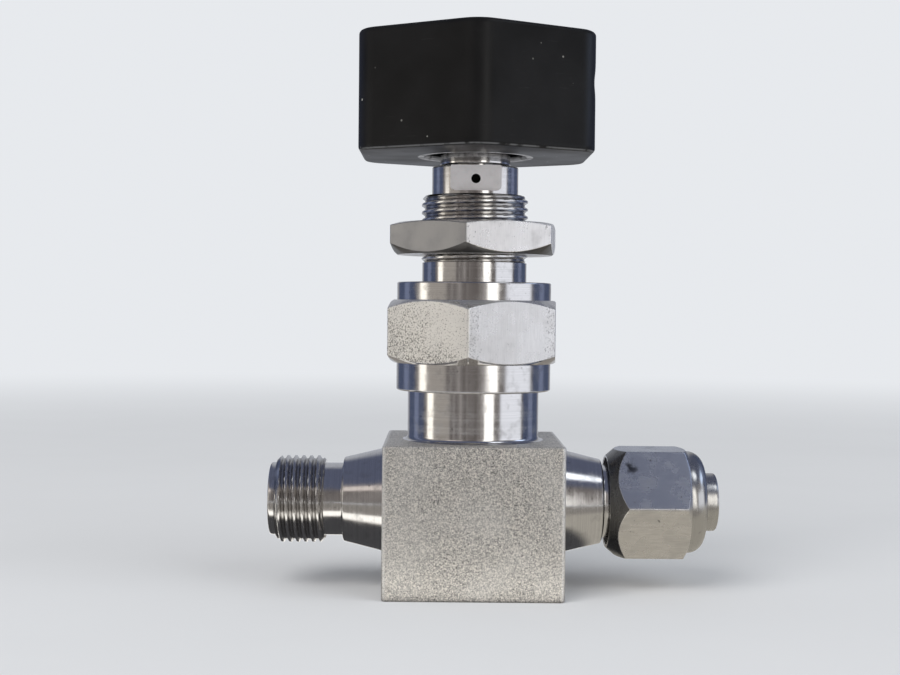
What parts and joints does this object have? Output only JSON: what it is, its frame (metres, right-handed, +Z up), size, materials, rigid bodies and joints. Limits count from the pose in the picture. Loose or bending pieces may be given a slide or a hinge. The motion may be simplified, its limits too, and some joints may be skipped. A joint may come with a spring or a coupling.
{
  "type": "shut-off valve",
  "caption": "Bellows-sealed shut-off valve with a square body, two in-line tube ports, a union nut, a threaded neck for panel mounting and a hexagonal knob.",
  "frame": {"origin": "centre of the block's underside, on the stem axis", "axes": "+Z up along the stem; +X towards the plugged port; -Y is the front with the milled flat and leak-test hole"},
  "size_m": [0.0735, 0.042, 0.09],
  "materials": {
    "block_steel": "shot-blasted stainless steel with polished turned neck and cones",
    "turned_steel": "bright turned stainless steel",
    "soft_steel": "soft plated metal",
    "spring_steel": "thin rolled stainless steel",
    "hard_steel": "hardened and polished",
    "fitting_steel": "satin stainless steel",
    "bronze": "plain bearing bronze",
    "seat_plastic": "pale seat plastic",
    "black_steel": "black oxide",
    "knob_black": "black satin, scuffed"
  },
  "bodies": {
    "root": {"body": "block_steel", "body_gasket": "soft_steel", "bellows_flange": "turned_steel", "union_nut": "turned_steel", "bonnet": "turned_steel", "bellows": "spring_steel", "guide_bush": "bronze", "bush_pin": "turned_steel", "stem_nut": "bronze", "wiper_ring": "seat_plastic", "tube_nut": "fitting_steel", "front_ferrule": "turned_steel", "back_ferrule": "turned_steel", "port_plug": "fitting_steel"},
    "stem": {"plunger": "turned_steel", "stem_tip": "turned_steel", "seat_disc": "seat_plastic", "thrust_ball": "hard_steel"},
    "handle": {"knob": "knob_black", "actuator": "turned_steel", "coupling_pins": "hard_steel", "set_screw": "black_steel"},
    "panel_nut": {"panel_nut": "turned_steel"}
  },
  "joints": [
    {"name": "stem_lift", "type": "slide", "parent": "root", "child": "stem", "axis": [0, 0, 1], "range_m": [0, 0.00188], "deforming": ["bellows"]},
    {"name": "handle_turn", "type": "hinge", "parent": "stem", "child": "handle", "pos_m": [0, 0, 0.0808], "axis": [0, 0, 1], "range_deg": [0, 540]},
    {"name": "panel_nut_run", "type": "slide", "parent": "root", "child": "panel_nut", "axis": [0, 0, 1], "range_m": [-0.0044, 0.0045]}
  ],
  "couplings": [
    {"joint": "stem_lift", "follows": "handle_turn", "m_per_rad": 0.00019894}
  ]
}
